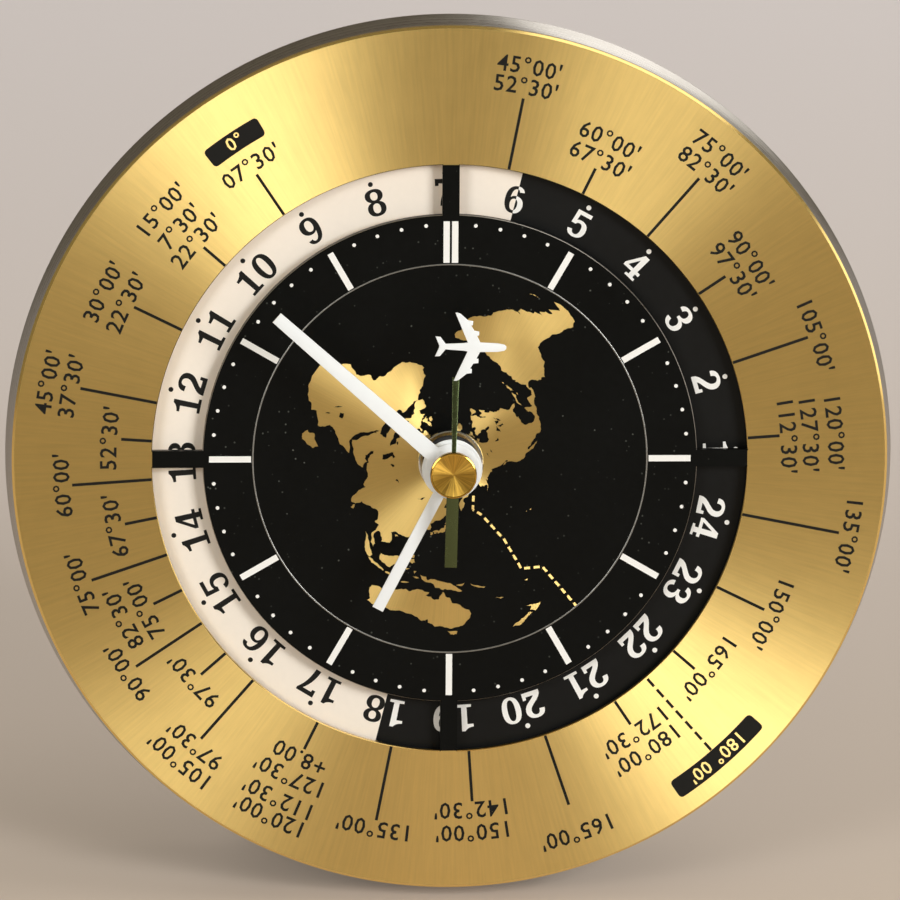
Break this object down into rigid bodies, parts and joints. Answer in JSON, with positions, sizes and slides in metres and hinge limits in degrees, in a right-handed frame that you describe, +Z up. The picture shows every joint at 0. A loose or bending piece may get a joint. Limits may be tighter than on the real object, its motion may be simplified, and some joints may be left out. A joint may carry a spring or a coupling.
{
  "type": "world time clock",
  "caption": "Round desk clock on a foot, with a brushed brass world time face, a day and night disc behind windows, three hands and a geared quartz movement.",
  "frame": {"origin": "middle of the underside of the rubber sole under the foot", "axes": "+Z up, -Y out of the dial towards the viewer, +X to the viewer's right; the face leans back by 8 degrees about X"},
  "size_m": [0.13, 0.0487, 0.129],
  "materials": {
    "brass_plate": "radially brushed and clear lacquered, with black lacquer fields",
    "spun_metal": "turned, fine concentric lines",
    "black_abs": "moulded, fine grain",
    "steel_fasteners": "bright zinc",
    "sole_rubber": "matt",
    "dial_chrome": "polished",
    "hand_white": "satin white paint on sheet",
    "hand_brass": "brushed",
    "gilt": "turned and polished",
    "disc_print": "printed cream and black",
    "white_acetal": "moulded",
    "turned_brass": "turned",
    "steel_arbor": "ground",
    "bonded_ferrite": "plastic-bonded magnet",
    "module_abs": "moulded",
    "stator_steel": "stamped sheet",
    "bobbin_nylon": "moulded",
    "copper_wire": "enamelled winding",
    "board_laminate": "green laminate",
    "chip_epoxy": "moulded",
    "crystal_can": "drawn can",
    "contact_spring": "nickel plated",
    "cell_sleeve": "printed sleeve over a steel can"
  },
  "bodies": {
    "case": {"dial_plate": "brass_plate", "case_rim": "spun_metal", "case_drum": "black_abs", "back_cover": "black_abs", "door_hinge_pin": "steel_fasteners", "cover_screws": "steel_fasteners", "movement_screws": "steel_fasteners", "plate_studs": "steel_fasteners", "stud_nuts": "steel_fasteners", "foot": "black_abs", "foot_screws": "steel_fasteners", "foot_sole": "sole_rubber", "dial_nut": "dial_chrome", "dial_washer": "dial_chrome", "movement_front": "module_abs", "movement_rear": "module_abs", "gear_bridge": "white_acetal", "stator": "stator_steel", "coil_core": "stator_steel", "coil_bobbin": "bobbin_nylon", "coil_winding": "copper_wire", "circuit_board": "board_laminate", "driver_chip": "chip_epoxy", "quartz_crystal": "crystal_can", "plus_contact": "contact_spring", "minus_contact": "contact_spring", "battery_can": "cell_sleeve", "battery_tip": "contact_spring"},
    "battery_door": {"battery_door": "black_abs"},
    "minute": {"minute_hand": "hand_white", "minute_collet": "hand_brass", "cannon_pinion": "turned_brass"},
    "hour": {"hour_hand": "hand_white", "hour_collet": "hand_brass", "hour_wheel": "white_acetal"},
    "day": {"day_disc": "disc_print", "day_wheel": "white_acetal"},
    "minute_wheel": {"minute_wheel": "white_acetal"},
    "set_knob": {"set_knob": "black_abs", "set_arbor": "steel_arbor"},
    "seconds": {"second_hand": "hand_brass", "second_collet": "hand_brass", "second_cap": "gilt", "second_wheel": "white_acetal"},
    "third_wheel": {"third_wheel": "white_acetal"},
    "centre_wheel": {"centre_wheel": "white_acetal", "clutch_spring": "steel_arbor"},
    "fifth_wheel": {"fifth_wheel": "white_acetal"},
    "rotor": {"rotor_pinion": "white_acetal", "rotor_magnet": "bonded_ferrite"}
  },
  "joints": [
    {"name": "minute_turn", "type": "hinge", "parent": "case", "child": "minute", "pos_m": [0, -0.01716, 0.06552], "axis": [0, 0.9903, -0.1392], "continuous": true},
    {"name": "hour_turn", "type": "hinge", "parent": "case", "child": "hour", "pos_m": [0, -0.01716, 0.06552], "axis": [0, 0.9903, -0.1392], "continuous": true},
    {"name": "day_turn", "type": "hinge", "parent": "case", "child": "day", "pos_m": [0, -0.01716, 0.06552], "axis": [0, 0.9903, -0.1392], "continuous": true},
    {"name": "minute_wheel_turn", "type": "hinge", "parent": "case", "child": "minute_wheel", "pos_m": [0.01, -0.01716, 0.06552], "axis": [0, 0.9903, -0.1392], "continuous": true},
    {"name": "set_knob_turn", "type": "hinge", "parent": "case", "child": "set_knob", "pos_m": [0.01866, -0.01646, 0.07047], "axis": [0, 0.9903, -0.1392], "continuous": true},
    {"name": "seconds_turn", "type": "hinge", "parent": "case", "child": "seconds", "pos_m": [0, -0.01716, 0.06552], "axis": [0, 0.9903, -0.1392], "continuous": true},
    {"name": "third_turn", "type": "hinge", "parent": "case", "child": "third_wheel", "pos_m": [-0.00985, -0.01679, 0.06813], "axis": [0, 0.9903, -0.1392], "continuous": true},
    {"name": "centre_turn", "type": "hinge", "parent": "case", "child": "centre_wheel", "pos_m": [0, -0.01716, 0.06552], "axis": [0, 0.9903, -0.1392], "continuous": true},
    {"name": "fifth_turn", "type": "hinge", "parent": "case", "child": "fifth_wheel", "pos_m": [0.0028, -0.0157, 0.07585], "axis": [0, 0.9903, -0.1392], "continuous": true},
    {"name": "rotor_turn", "type": "hinge", "parent": "case", "child": "rotor", "pos_m": [0.0056, -0.01503, 0.08065], "axis": [0, 0.9903, -0.1392], "continuous": true},
    {"name": "battery_door_hinge", "type": "hinge", "parent": "case", "child": "battery_door", "pos_m": [0, 0.00639, 0.05271], "axis": [1, 0, 0], "range_deg": [0, 100]}
  ],
  "couplings": [
    {"joint": "hour_turn", "follows": "minute_turn", "ratio": 0.083333},
    {"joint": "day_turn", "follows": "minute_turn", "ratio": 0.041667},
    {"joint": "minute_wheel_turn", "follows": "minute_turn", "ratio": -0.33333},
    {"joint": "set_knob_turn", "follows": "minute_turn", "ratio": 1},
    {"joint": "third_turn", "follows": "seconds_turn", "ratio": -0.125},
    {"joint": "centre_turn", "follows": "seconds_turn", "ratio": 0.016667},
    {"joint": "fifth_turn", "follows": "seconds_turn", "ratio": -5},
    {"joint": "rotor_turn", "follows": "seconds_turn", "ratio": 30}
  ]
}
